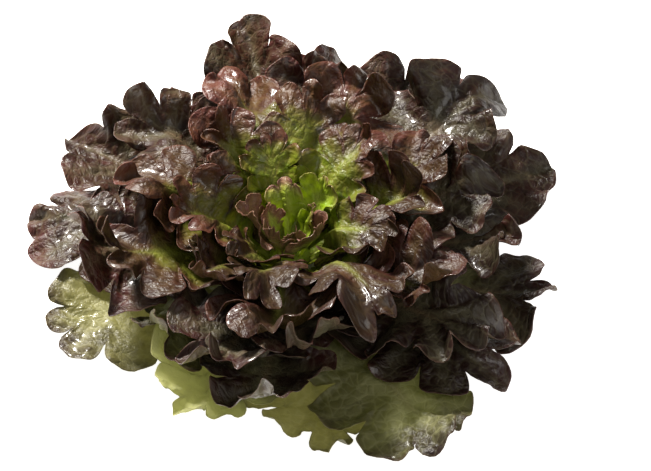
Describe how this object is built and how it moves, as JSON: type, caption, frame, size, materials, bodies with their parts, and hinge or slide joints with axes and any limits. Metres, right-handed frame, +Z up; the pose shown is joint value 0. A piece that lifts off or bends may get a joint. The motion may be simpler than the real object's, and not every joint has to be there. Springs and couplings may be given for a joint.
{
  "type": "lettuce head",
  "caption": "Open head of red oak leaf lettuce: lobed, ruffled leaves spread in a rosette round a short cut stem and a small green heart.",
  "frame": {"origin": "centre of the stem's cut face, which rests on the surface", "axes": "+Z up along the head's axis, +Y away from the picture's viewer, +X to the viewer's right"},
  "size_m": [0.318, 0.317, 0.0877],
  "materials": {
    "outer_leaf": "satin",
    "middle_leaf": "satin",
    "inner_leaf": "satin",
    "heart_leaf": "satin",
    "stem": "moist, cut"
  },
  "bodies": {
    "root": {"leaf_01": "outer_leaf", "leaf_02": "outer_leaf", "leaf_03": "middle_leaf", "leaf_04": "middle_leaf", "leaf_05": "middle_leaf", "leaf_06": "middle_leaf", "leaf_07": "middle_leaf", "leaf_08": "middle_leaf", "leaf_09": "middle_leaf", "leaf_10": "middle_leaf", "leaf_11": "middle_leaf", "leaf_12": "middle_leaf", "leaf_13": "middle_leaf", "leaf_14": "middle_leaf", "leaf_15": "middle_leaf", "leaf_16": "middle_leaf", "leaf_17": "middle_leaf", "leaf_18": "middle_leaf", "leaf_19": "middle_leaf", "leaf_20": "middle_leaf", "leaf_21": "middle_leaf", "leaf_22": "middle_leaf", "leaf_23": "middle_leaf", "leaf_24": "middle_leaf", "leaf_25": "inner_leaf", "leaf_26": "inner_leaf", "leaf_27": "inner_leaf", "leaf_28": "inner_leaf", "leaf_29": "inner_leaf", "leaf_30": "inner_leaf", "leaf_31": "inner_leaf", "leaf_32": "inner_leaf", "leaf_33": "inner_leaf", "leaf_34": "inner_leaf", "leaf_35": "inner_leaf", "leaf_36": "inner_leaf", "leaf_37": "inner_leaf", "leaf_38": "inner_leaf", "leaf_39": "inner_leaf", "leaf_40": "inner_leaf", "leaf_41": "inner_leaf", "leaf_42": "inner_leaf", "heart": "heart_leaf", "stem": "stem"}
  },
  "joints": []
}
